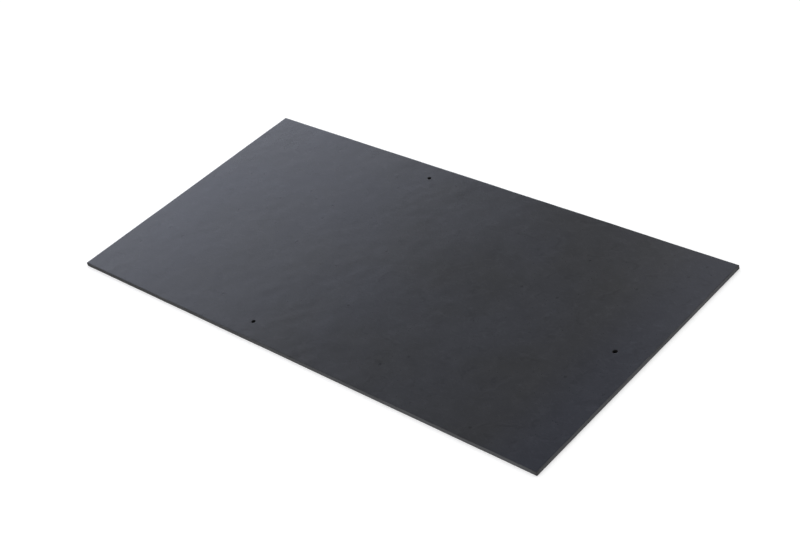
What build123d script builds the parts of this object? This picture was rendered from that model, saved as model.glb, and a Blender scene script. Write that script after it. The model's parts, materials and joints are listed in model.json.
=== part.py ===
# Fibre cement roofing slate, lying flat on its back with the weather face up.
#
# One rectangular sheet, pressed, cut to size and coated. It has a nail hole near
# each side, just above the head of the slate that it half covers on the roof, and
# one hole in the middle of the tail for the stem of a copper disc rivet.
#
# Frame: +X runs down the roof slope, from the head of the slate to its tail,
# +Y runs across it and +Z points out of the weather face. The origin is the
# centre of the underside.

import os

from build123d import *

# Sheet, in millimetres
slate_length = 600.0
slate_width = 300.0
slate_thickness = 4.5

# The coating rounds the cut corners of the face, and the cutting leaves the
# corners of the back almost sharp
face_arris_radius = 0.5
back_arris = 0.2

# How the slates are laid: each covers the one two courses below by the headlap,
# and is nailed just clear of the head of the one course below
headlap = 100.0
nail_clearance = 10.0

# Holes, punched through from the face: the punch draws the face in a little
# round each hole and breaks a small cone out of the back
nail_hole_diameter = 4.0
nail_hole_from_side = 20.0
rivet_hole_diameter = 4.5
rivet_hole_from_tail = 30.0
hole_rim_radius = 0.4
hole_breakout = 0.6

# Places that follow from them
gauge = (slate_length - headlap) / 2
tail_x = slate_length / 2
nail_x = tail_x - gauge - headlap - nail_clearance
nail_y = slate_width / 2 - nail_hole_from_side
rivet_x = tail_x - rivet_hole_from_tail


with BuildPart() as slate:
    with BuildSketch(Plane.XY):
        Rectangle(slate_length, slate_width)
    extrude(amount=slate_thickness)

    # The long and short edges of the two faces, before any hole has added its own
    back_edges = slate.edges().group_by(Axis.Z)[0]
    face_edges = slate.edges().group_by(Axis.Z)[-1]
    fillet(face_edges, radius=face_arris_radius)
    chamfer(back_edges, length=back_arris)

    with Locations((nail_x, nail_y), (nail_x, -nail_y)):
        Hole(radius=nail_hole_diameter / 2)
    with Locations((rivet_x, 0)):
        Hole(radius=rivet_hole_diameter / 2)

    rims = slate.edges().filter_by(GeomType.CIRCLE).group_by(Axis.Z)
    face_rims = rims[-1]
    back_rims = rims[0]
    fillet(face_rims, radius=hole_rim_radius)
    chamfer(back_rims, length=hole_breakout)

slate.part.label = "slate"

os.makedirs("parts", exist_ok=True)
export_step(slate.part, "parts/slate.step")
print(f"gauge {gauge:.0f} mm, nail holes {tail_x - nail_x:.0f} mm above the tail")
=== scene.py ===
# %% [markdown]
# A fibre cement roofing slate
#
# The object is one thin sheet: cement and fibres, laid down wet in films, pressed, cut, punched
# and then sprayed with a satin blue-black coat. It lies on its back with the weather face up.
# Everything that makes it look real is small: a face that is nearly but not quite flat, rounded
# and slightly uneven cut edges, holes with punched rims, and a coat that turns from dark to silvery
# where it mirrors the pale studio. So this lesson spends its effort on the surface of one mesh.

import json
from collections import namedtuple
from math import radians

import bpy
import numpy as np
from mathutils import Matrix, Vector


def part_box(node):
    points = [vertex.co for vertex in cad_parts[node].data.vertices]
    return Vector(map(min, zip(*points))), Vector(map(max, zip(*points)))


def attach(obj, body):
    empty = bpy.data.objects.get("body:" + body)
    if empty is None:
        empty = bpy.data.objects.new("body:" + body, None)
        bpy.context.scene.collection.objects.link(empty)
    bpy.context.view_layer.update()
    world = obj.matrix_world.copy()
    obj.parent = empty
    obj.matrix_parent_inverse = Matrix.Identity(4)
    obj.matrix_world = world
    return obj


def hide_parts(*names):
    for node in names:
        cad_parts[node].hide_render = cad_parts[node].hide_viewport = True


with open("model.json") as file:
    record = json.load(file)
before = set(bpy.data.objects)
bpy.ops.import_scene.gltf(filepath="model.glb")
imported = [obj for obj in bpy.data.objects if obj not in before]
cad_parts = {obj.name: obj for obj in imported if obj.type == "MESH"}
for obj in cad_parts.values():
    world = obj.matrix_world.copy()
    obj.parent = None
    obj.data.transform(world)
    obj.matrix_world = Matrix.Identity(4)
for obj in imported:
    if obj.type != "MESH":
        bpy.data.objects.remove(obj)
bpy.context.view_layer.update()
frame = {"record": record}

# %% [markdown]
# Sizes
#
# The CAD model already fixes the sheet's box and the place and radius of each hole, so no size is
# typed twice. The box reaches equally far to both sides of the middle and stands on height zero, so
# its highest corner holds half the length, half the width and the thickness. The holes are the
# record's bore mounts.

# %% Sizes from the frame
MM = 0.001
half_length, half_width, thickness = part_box("slate")[1]

Hole = namedtuple("Hole", "x y radius")
holes = [
    Hole(mount["pos_m"][0], mount["pos_m"][1], mount["dims"]["r_mm"] * MM)
    for mount in frame["record"]["mounts"]
    if mount["kind"] == "bore"
]
print(f"half length {half_length:.3f} m, half width {half_width:.3f} m, {thickness / MM:.1f} mm thick")
print("holes at", [(round(h.x, 3), round(h.y, 3)) for h in holes])

# %% [markdown]
# Lines across the sheet
#
# The face could be one big quad with a bump map, but then its outline, its rims and its glancing
# reflections would all be false. Instead it is a grid of about 2.6 mm, fine enough for relief that
# a raking light can pick out. Rounded corners and holes need closer lines, so the grid's lines are
# not evenly spaced: they bunch at each edge and on both sides of each hole.

# %% Where the grid's lines run
CELL = 2.6 * MM
EDGE_STEPS = np.array([0, 0.07, 0.2, 0.5, 1.3]) * MM       # inwards from each edge
RIM_STEPS = np.array([0, 0.1, 0.4, 0.6, 1.5, 3.2]) * MM    # outwards from the wall of a hole
PATCH = RIM_STEPS[-1]
HOLE_CELLS = 8             # cells across a hole, whose circle gets four times as many sides
DECIMALS = 9               # places are rounded to the nanometre, so that equal lines become one


def lines_across(half, centres, radii):
    """Places of the grid lines from -half to half.

    They are the steps in from both edges, the steps out from both walls of each hole, an even
    division of each hole, and, in what is left, an even division of the whole into cells.
    """
    close = [-half + EDGE_STEPS, half - EDGE_STEPS]
    for centre, radius in set(zip(centres, radii)):
        close += [centre - radius - RIM_STEPS, centre + radius + RIM_STEPS]
        close += [np.linspace(centre - radius, centre + radius, HOLE_CELLS + 1)]
    close = np.concatenate(close)
    even = np.linspace(-half, half, round(2 * half / CELL) + 1)
    room = np.abs(even[:, None] - close).min(axis=1)
    in_patch = (np.abs(even[:, None] - centres) < np.array(radii) + PATCH).any(axis=1)
    even = even[(room > CELL / 2) & ~in_patch]
    return np.unique(np.round(np.concatenate([close, even]), DECIMALS))


radii = [h.radius for h in holes]
x_lines = lines_across(half_length, [h.x for h in holes], radii)
y_lines = lines_across(half_width, [h.y for h in holes], radii)
grid_x, grid_y = np.meshgrid(x_lines, y_lines, indexing="ij")
print(f"grid of {len(x_lines)} by {len(y_lines)} lines")

# %% [markdown]
# Round holes in a square grid
#
# A boolean would leave long thin triangles round each hole. Warping is cleaner: the grid's
# squares round a hole are pulled inwards into circles, fully at the wall and less and less
# towards the edge of a small patch, so the rows of faces run round the hole like tree rings.

# %% Warp squares into circles
TINY = 1e-9                # metres, to keep a division away from zero


def ring(x, y, hole):
    """Half side of the square round the hole's centre on which each point lies."""
    return np.maximum(np.abs(x - hole.x), np.abs(y - hole.y))


def round_off(x, y, hole):
    """Move each point along its ray from the hole's centre.

    A point on the square of half side s goes towards the circle of radius s, by the share
    (radius + patch - s) / patch, which is one at the wall and nothing at the patch's edge.
    """
    dx, dy = x - hole.x, y - hole.y
    square = ring(x, y, hole)
    share = np.clip((hole.radius + PATCH - square) / PATCH, 0, 1)
    stretch = 1 + share * (square / np.maximum(np.hypot(dx, dy), TINY) - 1)
    return hole.x + dx * stretch, hole.y + dy * stretch


middle_x = (x_lines[:-1, None] + x_lines[1:, None]) / 2
middle_y = (y_lines[None, :-1] + y_lines[None, 1:]) / 2
in_hole = np.zeros(np.broadcast(middle_x, middle_y).shape, bool)
for hole in holes:
    in_hole |= ring(middle_x, middle_y, hole) < hole.radius
    grid_x, grid_y = round_off(grid_x, grid_y, hole)
print("cells left open for the holes:", int(in_hole.sum()))

# %% [markdown]
# Uneven heights
#
# Pressed fibre cement is not optically flat. The felt and the press leave broad, shallow swells,
# and a moulded slate has faint steps that follow the swells like contour lines on a map. Both come
# from one tool: a sum of cosine waves of random heading, which is smooth, repeatable and cheap.
# Heights stay between a fraction of a millimetre below the CAD face and the face itself, so the
# sheet keeps its box.

# %% Random waves and the relief of the face
SWELL = 0.035 * MM         # broad swells left by the press
DIMPLE = 0.014 * MM        # shallow dimples, a finger's width across
STEP = 0.016 * MM          # a riven step rises this far to each side of its level
STEP_LEVELS = (-0.9, 0.1, 1.0)
STEP_SOFTNESS = 0.09
RELIEF_DEPTH = 0.3 * MM    # the highest point touches the CAD face, and none lies deeper than this


def waves(x, y, shortest, longest, count, seed, stretch=1.0):
    """Smooth random heights with a spread of one.

    The sum of count cosines, whose wavelengths lie between shortest and longest; stretch makes
    them that much longer along x than along y.
    """
    random = np.random.default_rng(seed)
    lengths = np.exp(random.uniform(np.log(shortest), np.log(longest), count))
    headings = random.uniform(0, 2 * np.pi, count)
    phases = random.uniform(0, 2 * np.pi, count)
    total = np.zeros(np.broadcast(x, y).shape)
    for length, heading, phase in zip(lengths, headings, phases):
        along = np.cos(heading) * x / stretch + np.sin(heading) * y
        total += np.cos(2 * np.pi * along / length + phase)
    return total / np.sqrt(count / 2)


def relief(x, y):
    """Height of the face above or below the plain sheet.

    Broad swells and small dimples, plus steps where a slow set of waves crosses a few levels, as on
    riven stone: each step is a tanh of the distance from its level, and one more set fades it in
    and out.
    """
    swell = SWELL * waves(x, y, 70 * MM, 260 * MM, count=26, seed=11)
    dimples = DIMPLE * waves(x, y, 13 * MM, 46 * MM, count=90, seed=17)
    slow = waves(x, y, 60 * MM, 300 * MM, count=30, seed=23, stretch=1.8)
    shown = 0.5 + 0.5 * np.tanh(1.5 * waves(x, y, 50 * MM, 120 * MM, count=20, seed=31))
    steps = sum(np.tanh((slow - level) / STEP_SOFTNESS) for level in STEP_LEVELS)
    return swell + dimples + STEP * shown * steps


heights = relief(grid_x, grid_y)
heights = np.clip(heights - heights.max(), -RELIEF_DEPTH, 0)
print(f"relief spans {(heights.max() - heights.min()) / MM:.3f} mm")

# %% [markdown]
# The cut outline
#
# The sheet is cut by a guillotine, so its outline wanders by a tenth of a millimetre or two. Each
# edge gets long and short waves of its own, and the grid is drawn in with them, less and less
# further from the edge. It only ever moves inwards, so the outline never leaves the CAD box. The
# distances to the edge and to the holes are taken before that, on the true rectangle, and kept for
# the next steps.

# %% Let the outline wander
WANDER = 0.11 * MM         # what the cut takes off on average
WANDER_RANGE = (0.1, 2.0)  # and the least and most it takes, as shares of that
WANDER_REACH = 14 * MM     # how far in from the edge the grid gives way
OPPOSITE = 7.0             # opposite edges read their waves this many metres apart, so they differ


def draw_in(across, along, half, seed):
    """Pull two opposite edges inwards by waves that run along them.

    A point moves in by the wander, varied by a long wave and a short one, times the square of its
    nearness to the edge, which is one on the edge and nothing beyond the reach.
    """
    nearness = np.clip((np.abs(across) - half + WANDER_REACH) / WANDER_REACH, 0, 1)
    side = np.where(across > 0, 0.0, OPPOSITE)
    long_wave = waves(along, side, 60 * MM, 400 * MM, count=14, seed=seed)
    short_wave = waves(along, side, 9 * MM, 30 * MM, count=14, seed=seed + 1)
    inward = WANDER * np.clip(1 + 0.45 * long_wave + 0.12 * short_wave, *WANDER_RANGE)
    return across - np.sign(across) * inward * nearness**2


from_edge = np.minimum(half_length - np.abs(grid_x), half_width - np.abs(grid_y))
from_wall = np.min([np.hypot(grid_x - h.x, grid_y - h.y) - h.radius for h in holes], axis=0)
drawn_x = draw_in(grid_x, grid_y, half_length, seed=41)
drawn_y = draw_in(grid_y, grid_x, half_width, seed=43)
furthest = max(np.abs(drawn_x - grid_x).max(), np.abs(drawn_y - grid_y).max())
print(f"the outline is drawn in by {furthest / MM:.2f} mm at most")

# %% [markdown]
# Face and back
#
# Both faces use the same grid, so their borders meet point for point. The face drops along a
# quarter circle towards its edges and its rims. The back rises in a small bevel at the edges and in
# the breakout cone round each hole, and carries the faint print of the felt it was made on. These
# small sizes are new here, in millimetres as a slater would say them.

# %% Heights of the two faces
FACE_ARRIS = 0.5 * MM      # the coat rounds the corner between face and edge
BACK_ARRIS = 0.2 * MM      # the corner of the back is only just broken
RIM = 0.4 * MM             # the punch draws the face in round a hole
BREAKOUT = 0.6 * MM        # and breaks a small cone out of the back
FELT_PITCH = 6.5 * MM      # of the felt's broad print; its fine weave is left to the material
FELT_DEPTH = 0.02 * MM
FELT_BORDER = 2 * MM       # the print fades out this close to the edge


def quarter_round(distance, radius):
    """Drop of a rounded corner: radius - sqrt(radius^2 - (radius - distance)^2), none beyond it."""
    inside = np.clip(radius - distance, 0, radius)
    return radius - np.sqrt(radius**2 - inside**2)


face_z = thickness + heights
face_z = face_z - quarter_round(from_edge, FACE_ARRIS) - quarter_round(from_wall, RIM)

felt = np.cos(2 * np.pi * drawn_x / FELT_PITCH) * np.cos(2 * np.pi * drawn_y / FELT_PITCH)
back_z = FELT_DEPTH * (2 + felt) * np.clip(from_edge / FELT_BORDER, 0, 1)
back_z = back_z + np.clip(BACK_ARRIS - from_edge, 0, None)
back_z = back_z + np.clip(BREAKOUT - from_wall, 0, BREAKOUT)
print(f"face between {face_z.min() / MM:.2f} and {face_z.max() / MM:.2f} mm")

# %% [markdown]
# Points and quads
#
# A mesh is a list of points and a list of faces that name their corners by number. The face and the
# back share one grid, so one function turns its numbers into quads for both. Listed counter-clockwise
# as seen from above they point up, so the back's are listed the other way round. The cells inside
# the holes are left out.

# %% Quads of the face and the back
def index_grid(first, shape):
    """Numbers of the points of a grid, counted up from first."""
    return first + np.arange(shape[0] * shape[1]).reshape(shape)


def quads(numbers):
    """The four corners of each cell of a grid of point numbers, one cell a row."""
    corners = [numbers[:-1, :-1], numbers[1:, :-1], numbers[1:, 1:], numbers[:-1, 1:]]
    return np.stack(corners, axis=-1).reshape(-1, 4)


shape = drawn_x.shape
face = index_grid(0, shape)
back = index_grid(face.size, shape)
points = np.concatenate([
    np.stack([drawn_x, drawn_y, face_z], axis=-1).reshape(-1, 3),
    np.stack([drawn_x, drawn_y, back_z], axis=-1).reshape(-1, 3)])
cement = ~in_hole.ravel()
corners = [quads(face)[cement], quads(back)[cement][:, ::-1]]
print(f"{2 * cement.sum()} quads on the face and the back")

# %% [markdown]
# Borders
#
# What is still open between face and back is the outline and the holes. On the grid each of them is
# a rectangle, given by its first and last line in x and in y. Four runs of numbers list the points
# round it in order, and for each point there is a way from the wall into the cement.

# %% Where the walls will stand
SLACK = 10 * TINY          # for finding a line that is rounded to the nanometre


def lines_at(lines, centre, radius):
    """Numbers of the two grid lines that touch a hole on either side."""
    return np.searchsorted(lines, [centre - radius - SLACK, centre + radius - SLACK])


def loop(numbers, i0, i1, j0, j1):
    """Numbers of the points round a rectangle of the grid, counter-clockwise seen from above."""
    return np.concatenate([
        numbers[i0:i1, j0], numbers[i1, j0:j1], numbers[i1:i0:-1, j1], numbers[i0, j1:j0:-1]])


def into_cement(points, rectangle, hole=None):
    """Unit vectors from the wall into the sheet.

    At a hole they point away from its centre. On the outline they point in from each side that lies
    within the wander of the point, so from two sides at a corner.
    """
    on_wall = points[loop(face, *rectangle)][:, :2]
    if hole:
        vectors = on_wall - (hole.x, hole.y)
    else:
        over = np.abs(on_wall) - (half_length, half_width)
        vectors = -np.sign(on_wall) * (over > -WANDER_RANGE[1] * WANDER - TINY)
    vectors = vectors / np.maximum(np.linalg.norm(vectors, axis=1, keepdims=True), TINY)
    return np.pad(vectors, ((0, 0), (0, 1)))


outline = (0, shape[0] - 1, 0, shape[1] - 1)
openings = [(*lines_at(x_lines, h.x, h.radius), *lines_at(y_lines, h.y, h.radius)) for h in holes]
print("points round the outline and the holes:", [len(loop(face, *r)) for r in (outline, *openings)])

# %% [markdown]
# Walls
#
# A wall is a strip: one row of points along the face's border, one along the back's and a few
# between, joined in a loop. The same function makes the outer edge and the wall of each hole. The
# films of pulp show on a cut edge as shallow level grooves, so the rows between are pushed in a
# little, each by its own wave. Seen from a hole the cement is outside the strip, so a hole's quads
# are turned round.

# %% Strips that close the sheet
WALL_ROWS = 6
GROOVE = 0.035 * MM        # mean depth of the grooves
ROW_SPREAD = 3.0           # metres between the wave's readings for the back and for the face


def wall(points, rectangle, inward, seed):
    """A strip from the back's border up to the face's.

    Row k of the strip is the mix of both borders by its share of the way, moved along inward, a
    unit vector for each point, by a wave of its own. Returns all points and the strip's quads, which
    face away from the middle of the rectangle.
    """
    top, bottom = loop(face, *rectangle), loop(back, *rectangle)
    shares = np.linspace(0, 1, WALL_ROWS + 1)[1:-1, None, None]
    rows = points[bottom] + shares * (points[top] - points[bottom])
    sides = np.diff(points[top], axis=0, append=points[top][:1])
    around = np.cumsum(np.linalg.norm(sides, axis=1))
    groove = waves(
        around[None, :], shares[..., 0] * ROW_SPREAD, 50 * MM, 600 * MM, count=18, seed=seed,
        stretch=0.2)
    rows = rows + GROOVE * np.clip(1 + 0.6 * groove[..., None], 0, 2) * inward
    numbers = np.concatenate([bottom[None], index_grid(len(points), rows.shape[:2]), top[None]])
    numbers = np.concatenate([numbers, numbers[:, :1]], axis=1)
    return np.concatenate([points, rows.reshape(-1, 3)]), quads(numbers.T)


points, strip = wall(points, outline, into_cement(points, outline), seed=51)
corners.append(strip)
for number, (opening, hole) in enumerate(zip(openings, holes)):
    points, strip = wall(points, opening, into_cement(points, opening, hole), seed=61 + number)
    corners.append(strip[:, ::-1])
corners = np.concatenate(corners)
print(f"{len(points)} points, {2 * len(corners)} triangles")

# %% [markdown]
# Is it a solid?
#
# A gap in the mesh or a strip that faces inwards hardly shows in a render, but it spoils the model
# for anyone who prints or weighs it. The volume is a cheap test: the sum below comes out a little
# under length times width times thickness only if the surface is closed and points outwards.

# %% Measure the volume
CENTIMETRE = 10 * MM


def volume(points, corners):
    """Space inside the quads: a sixth of the sum of a . (b x c) over their triangles a, b, c."""
    halves = np.concatenate([corners[:, [0, 1, 2]], corners[:, [0, 2, 3]]])
    a, b, c = points[halves].transpose(1, 0, 2)
    return np.einsum("ij,ij->", a, np.cross(b, c)) / 6


box_volume = 4 * half_length * half_width * thickness
print(f"volume {volume(points, corners) / CENTIMETRE**3:.1f} cubic centimetres")
print(f"volume of its box {box_volume / CENTIMETRE**3:.1f} cubic centimetres")

# %% [markdown]
# From arrays to a mesh
#
# The points inside the holes belong to no face, so they are left out before the arrays go into
# Blender. Three masks go with the points, because the coat differs on the cut edges, in the holes
# and on the back. The first two rise from nothing to one across the rounded corner of the outline
# and of the holes, and the third is one on the underside.

# %% Make the mesh
SHARP = radians(38)        # a fold sharper than this stays a crease in the shading

used, faces = np.unique(corners, return_inverse=True)
faces = faces.reshape(-1, 4)

outer_count = (WALL_ROWS - 1) * len(loop(face, *outline))
bore_count = len(points) - 2 * face.size - outer_count


def mask(face_values, back_values, outer_value, bore_value):
    """One value a point: two grids of them, then the outer wall's and the holes' walls'."""
    return np.concatenate([
        face_values.ravel(), back_values.ravel(),
        np.full(outer_count, outer_value), np.full(bore_count, bore_value)])


def add_object(name, data):
    """A new object of that name, in the scene, at the origin."""
    made = bpy.data.objects.new(name, data)
    bpy.context.scene.collection.objects.link(made)
    return made


round_edge = np.clip(1 - from_edge / FACE_ARRIS, 0, 1)
round_rim = np.clip(1 - from_wall / RIM, 0, 1)
masks = {
    "edge": mask(round_edge, round_edge, 1, 0),
    "bore": mask(round_rim, round_rim, 0, 1),
    "back": mask(np.zeros(shape), np.ones(shape), 0, 0)}

mesh = bpy.data.meshes.new("coated_slate")
mesh.from_pydata(points[used], [], faces)
for name, values in masks.items():
    layer = mesh.attributes.new(name, "FLOAT", "POINT")
    layer.data.foreach_set("value", values[used].astype(np.float32))
mesh.polygons.foreach_set("use_smooth", np.ones(len(faces), bool))
mesh.set_sharp_from_angle(angle=SHARP)
mesh.update()
assert not mesh.validate(), "the mesh had faults"

slate = add_object("coated_slate", mesh)
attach(slate, "root")
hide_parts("slate")
print(f"mesh of {len(mesh.vertices)} points and {len(mesh.polygons)} quads")

# %% [markdown]
# Writing node trees as sums
#
# A finish is a formula, and formulas are easier to read as Python than as chains of calls that add
# nodes. Socket wraps one output of a node, and +, - and * on it add Math nodes. Tree.node makes any
# other node from its type, its settings and the values or links of its inputs. The first tree is the
# slate's own, and the first thing it needs is the place of each point on the sheet.

# %% A small language for shaders
class Socket:
    """One output of a node, on which sums can be written."""

    def __init__(self, tree, output):
        self.tree, self.output = tree, output

    def maths(self, operation, first, second=0.0):
        """Add one Math node; each of its two values is a Socket or a number."""
        inputs = {"Value": first, "Value_001": second}
        return self.tree.node("Math", {"operation": operation}, inputs)

    def __add__(self, other):
        return self.maths("ADD", self, other)

    def __radd__(self, other):
        return self.maths("ADD", other, self)

    def __sub__(self, other):
        return self.maths("SUBTRACT", self, other)

    def __rsub__(self, other):
        return self.maths("SUBTRACT", other, self)

    def __mul__(self, other):
        return self.maths("MULTIPLY", self, other)

    def __rmul__(self, other):
        return self.maths("MULTIPLY", other, self)

    def larger(self, other):
        return self.maths("MAXIMUM", self, other)

    def smaller(self, other):
        return self.maths("MINIMUM", self, other)

    def size(self):
        return self.maths("ABSOLUTE", self)

    def sine(self):
        return self.maths("SINE", self)

    def ease(self, start, end):
        """Zero below start and one above end, with a smooth rise between."""
        return self.tree.node(
            "MapRange", {"interpolation_type": "SMOOTHSTEP"},
            {"Value": self, "From Min": start, "From Max": end}, "Result")

    def along(self, axis):
        """One coordinate of a place: X, Y or Z."""
        return self.tree.node("SeparateXYZ", {}, {"Vector": self}, axis)


class Tree:
    """A node tree, emptied, to which nodes are added one call at a time."""

    def __init__(self, owner):
        owner.use_nodes = True
        self.nodes, self.links = owner.node_tree.nodes, owner.node_tree.links
        self.nodes.clear()

    def node(self, kind, settings, inputs, out=0):
        """Add a node, set it up, fill its inputs by their identifiers and return one output."""
        made = self.nodes.new("ShaderNode" + kind)
        for name, value in settings.items():
            setattr(made, name, value)
        by_identifier = {socket.identifier: socket for socket in made.inputs}
        for name, value in inputs.items():
            if isinstance(value, Socket):
                self.links.new(value.output, by_identifier[name])
            else:
                by_identifier[name].default_value = value
        return Socket(self, made.outputs[out]) if made.outputs else None


finish = bpy.data.materials.new("blue_black_coat")
coat = Tree(finish)
place = coat.node("TexCoord", {}, {}, "Object")
x_place, y_place = place.along("X"), place.along("Y")
print(f"{finish.name}: {len(coat.nodes)} nodes that tell the place")

# %% [markdown]
# Variation shared by all sides
#
# One set of noises serves the whole slate, so that what happens in the cement shows in colour, in
# gloss and in height at the same place. Fibres are the thin lines along which a noise, stretched
# in one direction, passes its middle value. Pits, dimples and specks are scattered dots of three
# kinds: a pinhole, a place where the wet coat drew back, and a pale grain that shows through the
# coat.

# %% Clouds, fibres and dots
DOT_CORE = 0.4             # a dot is full out to this share of its radius


def stretched(place, x, y, z, turn=0.0):
    """The place seen so that a pattern on it grows x, y and z times, turned about z."""
    return place.tree.node(
        "Mapping", {"vector_type": "TEXTURE"},
        {"Vector": place, "Rotation": (0, 0, turn), "Scale": (x, y, z)}, "Vector")


def noise(place, size, detail=2.0, roughness=0.5):
    """Fractal noise whose largest features measure about size metres."""
    return place.tree.node(
        "TexNoise", {},
        {"Vector": place, "Scale": 1 / size, "Detail": detail, "Roughness": roughness}, "Fac")


def dots(place, spacing, radius, ragged=0.0):
    """One in the middle of scattered dots of about that radius at most, and zero between them.

    The distance to the nearest of a set of scattered points, in cells, eased from one to zero. What
    ragged adds to the distance first, from place to place, frays the outlines of the dots.
    """
    distance = place.tree.node("TexVoronoi", {}, {"Vector": place, "Scale": 1 / spacing}, "Distance")
    return 1 - (distance + ragged).ease(DOT_CORE * radius / spacing, radius / spacing)


def fibre_lines(turn, width):
    """Thin lines, each several millimetres long, that lie mostly along one heading.

    One where a noise, stretched along the heading, is near its middle value and zero from the width
    on, times a second noise that breaks the lines up.
    """
    field = noise(stretched(place, 7, 1, 1, turn), 1.7 * MM, detail=1)
    ridge = 1 - (2 * field - 1).size()
    broken = noise(stretched(place, 2, 1, 1, turn), 4 * MM, detail=1).ease(0.5, 0.62)
    return ridge.ease(1 - width, 1 - width / 3) * broken


cloud = noise(place, 110 * MM, detail=3)
blotch = noise(place, 16 * MM, detail=3, roughness=0.6)
grain = noise(place, 0.9 * MM)
peel = noise(place, 3.6 * MM)

fibres = fibre_lines(turn=0.15, width=0.13).larger(fibre_lines(turn=-0.6, width=0.11))
# pinholes; where the colour darkens them, that is painted shade
shaded_pits = dots(place, spacing=3.4 * MM, radius=0.42 * MM) * blotch.ease(0.42, 0.6)
# dimples where the wet coat drew back; where the colour darkens them, that is painted shade
dimples = dots(place, spacing=22 * MM, radius=2.1 * MM, ragged=0.12 * (grain - 0.5))
specks = dots(place, spacing=10 * MM, radius=0.4 * MM)
print(f"with the clouds, fibres and dots: {len(coat.nodes)} nodes")

# %% [markdown]
# Crumbled steps
#
# The mould also leaves low, crumbled steps, too fine for the mesh. They run where the sine of a
# slow, ragged noise crosses zero, and a finer noise breaks them into short lengths. The same sine
# serves twice: eased, it is the height of the terraces, and near its zeros it marks the steps' lips
# with a painted highlight on the upper side and painted shade on the lower.

# %% Terraces and their lips
TERRACES = 0.24            # the noise rises by this much over one high and one low terrace

crags = noise(stretched(place, 1.5, 1, 1, turn=0.5), 90 * MM, detail=5, roughness=0.55)
terraces = (crags * (2 * np.pi / TERRACES)).sine()
split = noise(place, 9 * MM).ease(0.45, 0.58)
riven = terraces.ease(-0.5, 0.5) * split
# painted highlight on each step's upper lip and painted shade at its foot
painted_step_shading = terraces * (1 - terraces.size().ease(0.3, 0.6)) * split
print(f"with the crumbled steps: {len(coat.nodes)} nodes")

# %% [markdown]
# The coat
#
# Slates get an acrylic coat, sprayed on and cured. It is nearly black with a blue cast in places,
# slightly cloudy because the cement under it drinks unevenly, and satin, so it mirrors a pale wall
# softly. The blue cast that grows at the tail is a painted reflection. Pits and dimples are darkened
# with painted shade, fibres that lift the coat are a little paler, a crumbled step gets a painted
# highlight on its upper lip and painted shade at its foot, and the spray leaves a fine peel.
# Heights for the bump are in metres, so every texture has a real depth. The roughness stops short
# of 0.274, where the renderer's noise filter begins to take a coat for matt paint and leaves specks
# along the change.

# %% Colour, gloss and height of the coated face
COAT_BLACK = (0.0318, 0.0324, 0.0345, 1)
COAT_BLUE = (0.0300, 0.0320, 0.0412, 1)
SPECK_GREY = (0.07, 0.07, 0.073, 1)
BLUE_FROM, BLUE_TO = 90 * MM, 10 * MM    # distances from the tail between which the painted reflection's blue cast grows
ROUGHEST = 0.265
MICRON = MM / 1000
MIX_COLOUR = 2             # a Mix node has one output for each kind of value; this is the colour's


def mix(share, first, second):
    """The first colour, turning into the second as share goes from zero to one."""
    inputs = {"Factor_Float": share, "A_Color": first, "B_Color": second}
    return share.tree.node("Mix", {"data_type": "RGBA"}, inputs, MIX_COLOUR)


def shade(colour, strength):
    """The colour times a number."""
    inputs = {"Vector": colour, "Scale": strength}
    return colour.tree.node("VectorMath", {"operation": "SCALE"}, inputs, "Vector")


# painted reflection: the coat is tinted bluer towards the tail
painted_tail_reflection = x_place.ease(half_length - BLUE_FROM, half_length - BLUE_TO)
blueness_and_tail_reflection = (0.5 * cloud.ease(0.3, 0.7)).larger(painted_tail_reflection)
face_tone = 0.72 + 0.14 * cloud + 0.24 * blotch + 0.20 * grain + 0.10 * fibres
# painted shade darkens the pits and dimples; each step gets a painted highlight on its upper lip and
# painted shade at its foot
face_tone = face_tone - 0.7 * shaded_pits - 0.3 * dimples + 0.34 * painted_step_shading
face_colour = shade(mix(blueness_and_tail_reflection, COAT_BLACK, COAT_BLUE), face_tone)
face_colour = mix(0.3 * specks, face_colour, SPECK_GREY)

face_rough = (0.165 + 0.07 * cloud + 0.06 * blotch + 0.04 * grain).smaller(ROUGHEST)
face_height = (
    13 * MICRON * peel + 3 * MICRON * grain + 6 * MICRON * fibres
    - 4 * MICRON * shaded_pits - 1 * MICRON * dimples + 15 * MICRON * riven)
print(f"with the coated face: {len(coat.nodes)} nodes")

# %% [markdown]
# Edges and holes
#
# On a cut edge the films of pulp show as thin level streaks, pale and dark by turns. The coat wraps
# over the corner. The edges are painted darker at the head and paler towards the tail, as painted
# light and shade. Along the tail itself and at the sheet's four corners they are darker again. In
# places the corner between face and edge is rubbed bare. Inside the holes hardly any light or coat
# arrives, and their walls are painted nearly black as painted shade.

# %% Colour and height of the edges and holes
# the edges run from the first colour at the head to the second towards the tail: painted light and
# shade
EDGE_BLACK = (0.012, 0.012, 0.013, 1)
EDGE_GREY = (0.053, 0.054, 0.058, 1)
RUBBED_GREY = (0.12, 0.12, 0.12, 1)
# painted shade: the hole walls are painted nearly black
PAINTED_HOLE_SHADE = (0.003, 0.003, 0.0033, 1)
CORNER = 7 * MM            # the edges are darker within this distance of the sheet's four corners
EDGE_LIGHT_OVERHANG = 40 * MM       # the painted light on the edges rises from this far beyond the head to as far before the tail
TAIL_FROM, TAIL_TO = 1.5 * MM, 0.5 * MM    # distances from the tail between which its edge sets in


def stored_mask(name):
    """A mask that was stored on the mesh."""
    return coat.node("Attribute", {"attribute_name": name}, {}, "Fac")


edge, bore = stored_mask("edge"), stored_mask("bore")
films = noise(stretched(place, 9, 9, 0.12), 4 * MM, detail=3, roughness=0.6)
crumbs = noise(place, 0.7 * MM)

corner_x = x_place.size().ease(half_length - CORNER, half_length)
corner_y = y_place.size().ease(half_width - CORNER, half_width)
tail = x_place.ease(half_length - TAIL_FROM, half_length - TAIL_TO)
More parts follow.
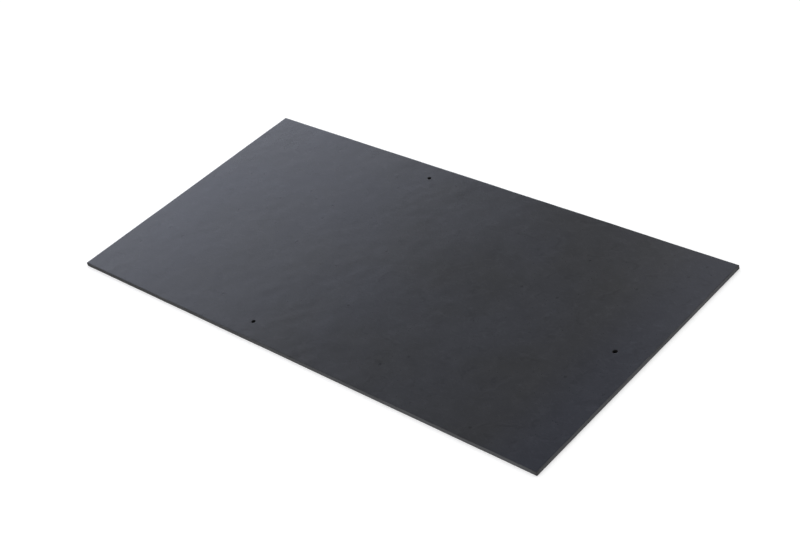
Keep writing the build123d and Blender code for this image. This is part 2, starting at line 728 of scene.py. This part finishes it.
# painted light: the edges turn paler from the head towards the tail
painted_edge_light = x_place.ease(-half_length - EDGE_LIGHT_OVERHANG, half_length - EDGE_LIGHT_OVERHANG)
edge_paleness = painted_edge_light * (1 - 0.8 * corner_x * corner_y) * (1 - 0.16 * tail)
edge_tone = 0.4 + 0.68 * films.ease(0.35, 0.65) + 0.36 * crumbs
edge_colour = shade(mix(edge_paleness, EDGE_BLACK, EDGE_GREY), edge_tone)
rub = edge.ease(0.1, 0.45) * (1 - edge.ease(0.7, 1.0)) * (blotch + 0.5 * grain).ease(0.72, 0.95)
edge_colour = mix(0.6 * rub, edge_colour, RUBBED_GREY)
edge_height = 45 * MICRON * films + 20 * MICRON * crumbs
print(f"with the edges and holes: {len(coat.nodes)} nodes")

# %% [markdown]
# The back
#
# The back keeps the colour of the cement, under a thin clear seal. The felt that carried the wet
# film has printed a fine weave on it, stronger in some places than in others, and spray that went
# past the edges has left a dark, speckled margin.

# %% Colour and height of the back
CEMENT = (0.150, 0.148, 0.142, 1)
DAMP_CEMENT = (0.105, 0.104, 0.102, 1)
WEAVE_PITCH = 1.9 * MM
MARGIN = 26 * MM


def inset(x, y):
    """Distance in from the nearest side: the smaller of half length - |x| and half width - |y|."""
    return (half_length - x.size()).smaller(half_width - y.size())


back_side = stored_mask("back")
wander = 0.9 * MM * noise(place, 14 * MM)
threads_x = ((x_place + wander) * (2 * np.pi / WEAVE_PITCH)).sine()
threads_y = ((y_place + wander) * (2 * np.pi / WEAVE_PITCH)).sine()
weave = threads_x * threads_y * (0.3 + 0.7 * cloud.ease(0.4, 0.6))

spray = 1 - inset(x_place, y_place) * (1 / MARGIN) + 0.9 * (grain - 0.5) + 0.8 * (blotch - 0.5)
spray = spray.ease(0.35, 0.95)

streaks = noise(stretched(place, 12, 1, 1), 9 * MM, detail=3)
back_colour = mix((0.5 * cloud + 0.5 * streaks).ease(0.4, 0.6), CEMENT, DAMP_CEMENT)
# the pinholes' darkening in this colour is painted shade
back_tone = 0.86 + 0.05 * weave + 0.2 * grain + 0.1 * fibres - 0.3 * shaded_pits
back_colour = mix(0.85 * spray, shade(back_colour, back_tone), COAT_BLACK)
back_height = 7 * MICRON * weave + 8 * MICRON * grain + 12 * MICRON * fibres - 40 * MICRON * shaded_pits
print(f"with the back: {len(coat.nodes)} nodes")

# %% [markdown]
# One material
#
# The masks on the mesh blend the three finishes. Colours are mixed, and gloss and height are
# weighted sums, so each side keeps its own depth of texture right up to the rounded corner.

# %% Put the sides together
EDGE_ROUGH = 0.72
BACK_ROUGH = 0.62

on_edge = edge.ease(0.0, 0.8)
on_bore = bore.ease(0.0, 0.7)
on_back = back_side * (1 - on_edge)
on_face = (1 - on_edge) * (1 - back_side)

colour = mix(on_edge, face_colour, edge_colour)
colour = mix(on_back, colour, back_colour)
# painted shade inside the holes
colour = mix(on_bore, colour, PAINTED_HOLE_SHADE)
rough = face_rough * on_face + EDGE_ROUGH * on_edge + BACK_ROUGH * on_back
rough = rough.larger(EDGE_ROUGH * on_bore)
height = face_height * on_face + edge_height * on_edge.larger(on_bore) + back_height * on_back
bump = coat.node("Bump", {}, {"Height": height, "Distance": 1.0, "Strength": 1.0}, "Normal")

surface = coat.node(
    "BsdfPrincipled", {},
    {"Base Color": colour, "Roughness": rough, "Normal": bump, "IOR": 1.5}, "BSDF")
coat.node("OutputMaterial", {}, {"Surface": surface})
mesh.materials.append(finish)
print(f"{finish.name}: {len(coat.nodes)} nodes")

# %% [markdown]
# Floor
#
# The photograph was cut out on white, with only a breath of shadow left. A real white floor under
# plain light comes out light grey, so the floor glows a little for the camera and for reflections,
# more so away from the slate, and stays an ordinary matt floor for everything else. It doesn't glow
# under the slate, or the holes would show a light that isn't there. Its shadow is real.

# %% A white floor that keeps the shadow
FLOOR_HALF = 4.0
FLOOR_DROP = 0.05 * MM     # so that floor and back don't lie in one plane
FLOOR_WHITE = (0.86, 0.86, 0.86, 1)
GLOW_NEAR = 0.28           # near the slate
WHITE_FROM, WHITE_TO = 0.45, 1.1   # metres from the middle between which the floor turns plain white
SHELTER = 3 * MM           # how far in under the slate the glow dies out


def seen_and_mirrored(tree):
    """Two switches: is the ray from the camera, and is it a mirrored one or one through glass?"""
    kinds = ("Is Camera Ray", "Is Glossy Ray", "Is Transmission Ray")
    seen, glossy, clear = (tree.node("LightPath", {}, {}, kind) for kind in kinds)
    return seen, glossy.larger(clear)


def blend(share, first, second):
    """The first surface, turning into the second as share goes from zero to one."""
    inputs = {"Fac": share, "Shader": first, "Shader_001": second}
    return share.tree.node("MixShader", {}, inputs, "Shader")


floor_mesh = bpy.data.meshes.new("floor")
floor_sides = ((-1, -1), (1, -1), (1, 1), (-1, 1))
floor_corners = [(x * FLOOR_HALF, y * FLOOR_HALF, -FLOOR_DROP) for x, y in floor_sides]
floor_mesh.from_pydata(floor_corners, [], [(0, 1, 2, 3)])
floor = add_object("floor", floor_mesh)

paint = bpy.data.materials.new("white_floor")
pale = Tree(paint)
seen, mirrored = seen_and_mirrored(pale)
floor_place = pale.node("TexCoord", {}, {}, "Object")
distance = pale.node("VectorMath", {"operation": "LENGTH"}, {"Vector": floor_place}, "Value")
far = distance.ease(WHITE_FROM, WHITE_TO)
covered = inset(floor_place.along("X"), floor_place.along("Y")).ease(0.0, SHELTER)
matt = pale.node("BsdfDiffuse", {}, {"Color": FLOOR_WHITE}, "BSDF")
glow = pale.node("Emission", {}, {"Strength": GLOW_NEAR}, "Emission")
white = pale.node("Emission", {}, {"Strength": 1.0}, "Emission")
lit = pale.node("AddShader", {}, {"Shader": matt, "Shader_001": glow}, "Shader")
glowing = blend(far, blend(covered, lit, matt), white)
pale.node("OutputMaterial", {}, {"Surface": blend(seen.larger(mirrored), matt, glowing)})
floor_mesh.materials.append(paint)
print(f"floor {2 * FLOOR_HALF} m square, {len(pale.nodes)} nodes")

# %% [markdown]
# Studio
#
# What a satin face shows is the room. The world is an even fill for matt surfaces, and plain white
# for the camera. Mirror rays see white only low down, where the backdrop stands, and a dim ceiling
# above, as in a real studio.

# %% The room
FILL = 0.85
CEILING = 0.05
# A ray whose direction climbs less than the first sees the backdrop, and beyond the second the
# ceiling. Level is nothing, and straight up is one.
BACKDROP_TOP, CEILING_EDGE = 0.2, 0.4

world = bpy.data.worlds.new("studio")
bpy.context.scene.world = world
sky = Tree(world)
seen, mirrored = seen_and_mirrored(sky)
upward = sky.node("TexCoord", {}, {}, "Generated").along("Z")
backdrop = 1 - (1 - CEILING) * upward.ease(BACKDROP_TOP, CEILING_EDGE)
strength = seen + (1 - seen) * (mirrored * backdrop + (1 - mirrored) * FILL)
backing = sky.node("Background", {}, {"Color": (1, 1, 1, 1), "Strength": strength}, "Background")
sky.node("OutputWorld", {}, {"Surface": backing})
print(f"world {world.name}: {len(sky.nodes)} nodes")

# %% [markdown]
# Lamps
#
# A photographer's softbox is a lit rectangle, and so is an area lamp. What counts is where each one
# is mirrored. The two long ones hang one above the other behind the head of the slate, the lower one
# brighter, and draw the silver sheen that fades towards the tail. A third hangs high on the far
# side, and a fill stands in front of the near edges.

# %% Four soft lights
COOL = (0.78, 0.83, 1.0)
PALE_COOL = (0.95, 0.95, 1.0)


def soft_light(name, at, aim, width, height, watts, colour=(1, 1, 1)):
    """A rectangular lamp that faces the point aim, unseen by the camera itself."""
    lamp = bpy.data.lights.new(name, "AREA")
    lamp.shape, lamp.size, lamp.size_y = "RECTANGLE", width, height
    lamp.energy, lamp.color = watts, colour
    made = add_object(name, lamp)
    made.location = at
    made.rotation_euler = (Vector(aim) - Vector(at)).to_track_quat("-Z", "Y").to_euler()
    made.visible_camera = False
    print(f"{name}: {width} by {height} m, {watts} W")


soft_light(
    "head_softbox_low", at=(-1.5, 1.1, 0.6), aim=(0, 1.1, 0.6),
    width=3.0, height=0.4, watts=8.45, colour=COOL)
soft_light(
    "head_softbox_high", at=(-1.5, 1.1, 1.06), aim=(0, 1.1, 1.06),
    width=3.0, height=0.52, watts=5.28, colour=COOL)
soft_light(
    "far_light", at=(-0.75, 2.1, 1.9), aim=(0, 0, 0),
    width=1.0, height=1.0, watts=2.1, colour=PALE_COOL)
soft_light(
    "front_fill", at=(0.9, -1.7, 0.8), aim=(0.2, 0, 0),
    width=0.9, height=0.9, watts=6)

# %% [markdown]
# Camera
#
# The four corners of the face fix the camera: a 69 mm lens on a 36 mm sensor, a metre and a half
# away, 36 degrees above the sheet and 51 degrees round from its long side. The picture is also
# rolled, because the slate was propped up when it was photographed, and here it lies flat.

# %% The photograph's camera
AZIMUTH, ELEVATION, ROLL = radians(51.119), radians(35.822), radians(-14.490)
DISTANCE = 1.49283         # metres from the middle of the face
LENS = 69.068              # millimetres, as is the sensor's width
SENSOR = 36.0
AIM = Vector((0.01355, 0.00169, thickness))

sideways = np.cos(ELEVATION)
around = Vector((np.sin(AZIMUTH) * sideways, -np.cos(AZIMUTH) * sideways, np.sin(ELEVATION)))
camera_data = bpy.data.cameras.new("camera")
camera_data.lens, camera_data.sensor_width = LENS, SENSOR
camera = add_object("camera", camera_data)
camera.location = Vector((0, 0, thickness)) + DISTANCE * around
level = (AIM - camera.location).to_track_quat("-Z", "Y")
camera.rotation_euler = (level.to_matrix() @ Matrix.Rotation(ROLL, 3, "Z")).to_euler()
bpy.context.scene.camera = camera
bpy.context.scene.view_settings.view_transform = "Standard"
print("camera at", [round(v, 3) for v in camera.location], "metres")
